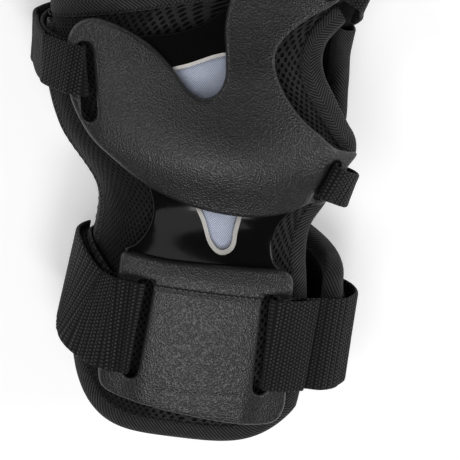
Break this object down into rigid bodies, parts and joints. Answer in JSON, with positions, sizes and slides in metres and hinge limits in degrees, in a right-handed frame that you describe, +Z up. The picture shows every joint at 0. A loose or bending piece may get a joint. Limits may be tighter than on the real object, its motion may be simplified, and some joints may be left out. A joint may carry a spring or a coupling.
{
  "type": "wrist guard",
  "caption": "Padded wrist guard for a right hand, with a palm skid plate, a rigid palm splint, a forearm plate and buckle-free hook and loop straps.",
  "frame": {"origin": "on the flat underside of the forearm strap, at the middle of its width and below the middle of the forearm", "axes": "+Z up through the palm, which faces up; +Y from the forearm to the fingers; +X to the thumb side"},
  "size_m": [0.1222, 0.1756, 0.0606],
  "materials": {
    "matte_plate": "satin with a fine moulded grain",
    "gloss_splint": "polished",
    "twill_insert": "herringbone twill",
    "rivet_metal": "plain",
    "air_mesh": "knitted spacer mesh",
    "foam": "closed-cell foam",
    "lining": "brushed knit",
    "stiffener": "plain sheet",
    "binding_tape": "twill tape",
    "webbing": "woven with ribs",
    "elastic_webbing": "ribbed elastic",
    "hook_and_loop": "napped"
  },
  "bodies": {
    "guard": {"skid_plate": "matte_plate", "palm_splint": "gloss_splint", "forearm_plate": "matte_plate", "window_insert_panel": "twill_insert", "skid_rivet_1": "rivet_metal", "skid_rivet_2": "rivet_metal", "skid_rivet_3": "rivet_metal", "skid_rivet_4": "rivet_metal", "forearm_rivet_1": "rivet_metal", "forearm_rivet_2": "rivet_metal", "forearm_rivet_3": "rivet_metal", "forearm_rivet_4": "rivet_metal", "palm_panel": "air_mesh", "palm_foam": "foam", "palm_lining": "lining", "heel_pad": "foam", "back_panel": "air_mesh", "back_foam": "foam", "back_lining": "lining", "back_splint": "stiffener", "palm_edge_binding": "binding_tape", "back_edge_binding": "binding_tape", "thumb_hole_binding": "binding_tape", "finger_edge_binding": "binding_tape", "side_seam_binding": "binding_tape", "forearm_strap_loop": "webbing", "forearm_strap": "elastic_webbing", "forearm_loop_patch": "hook_and_loop", "hand_strap": "elastic_webbing", "hand_loop_patch": "hook_and_loop", "wrist_strap": "elastic_webbing"},
    "forearm_tab": {"forearm_strap_tab": "webbing", "forearm_hook_patch": "hook_and_loop"},
    "hand_tab": {"hand_strap_tab": "webbing", "hand_hook_patch": "hook_and_loop"}
  },
  "joints": [
    {"name": "forearm_tab_peel", "type": "hinge", "parent": "guard", "child": "forearm_tab", "pos_m": [-0.0251, 0, 0.05176], "axis": [-0.0203, 0.9981, 0.0587], "range_deg": [0, 110]},
    {"name": "hand_tab_peel", "type": "hinge", "parent": "guard", "child": "hand_tab", "pos_m": [-0.05285, 0.08205, 0.04947], "axis": [0.035, 0.9975, -0.0607], "range_deg": [0, 110]}
  ]
}
